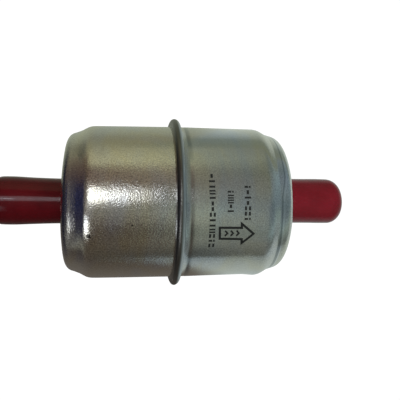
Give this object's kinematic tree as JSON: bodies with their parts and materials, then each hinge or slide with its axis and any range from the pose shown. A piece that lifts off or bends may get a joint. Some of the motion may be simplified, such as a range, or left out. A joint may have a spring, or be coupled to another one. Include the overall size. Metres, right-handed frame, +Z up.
{
  "type": "fuel filter",
  "caption": "In-line metal fuel filter: two shells joined by a rolled seam, a capped hose nipple at each end, and a pleated paper element held by a spring inside.",
  "frame": {"origin": "centre of the body seam on the filter's axis, halfway between the tips of the two caps", "axes": "+X along the filter's axis in the direction of flow, from inlet to outlet; +Z up, square to the axis, through the side that carries the flow arrow; +Y completes the frame"},
  "size_m": [0.098, 0.046, 0.046],
  "materials": {
    "zinc_plated_steel": "satin zinc plate with a faint yellow and blue tint",
    "nipple_steel": "satin plated tube",
    "braze_metal": "as brazed",
    "red_vinyl": "glossy dipped vinyl",
    "black_rubber": "matte",
    "spring_steel": "drawn wire",
    "element_steel": "tinned sheet",
    "potting_resin": "cast, matte",
    "filter_paper": "resin-treated filter paper"
  },
  "bodies": {
    "housing": {"inlet_shell": "zinc_plated_steel", "outlet_shell": "zinc_plated_steel", "seam_seal_ring": "black_rubber", "inlet_tube": "nipple_steel", "outlet_tube": "nipple_steel", "inlet_braze_ring": "braze_metal", "outlet_braze_ring": "braze_metal", "element_spring": "spring_steel"},
    "inlet_cap": {"inlet_dust_cap": "red_vinyl"},
    "outlet_cap": {"outlet_dust_cap": "red_vinyl"},
    "element": {"spring_seat": "element_steel", "closed_end_cap": "element_steel", "closed_end_adhesive": "potting_resin", "pleated_paper": "filter_paper", "paper_seam_clip": "element_steel", "center_tube": "element_steel", "open_end_adhesive": "potting_resin", "open_end_cap": "element_steel", "outlet_grommet": "black_rubber"}
  },
  "joints": [
    {"name": "inlet_cap_pull", "type": "slide", "parent": "housing", "child": "inlet_cap", "axis": [-1, 0, 0], "range_m": [0, 0.022]},
    {"name": "outlet_cap_pull", "type": "slide", "parent": "housing", "child": "outlet_cap", "axis": [1, 0, 0], "range_m": [0, 0.022]},
    {"name": "element_float", "type": "slide", "parent": "housing", "child": "element", "axis": [-1, 0, 0], "range_m": [0, 0.0015], "stiffness_N_per_m": 900, "deforming": ["element_spring"]}
  ]
}
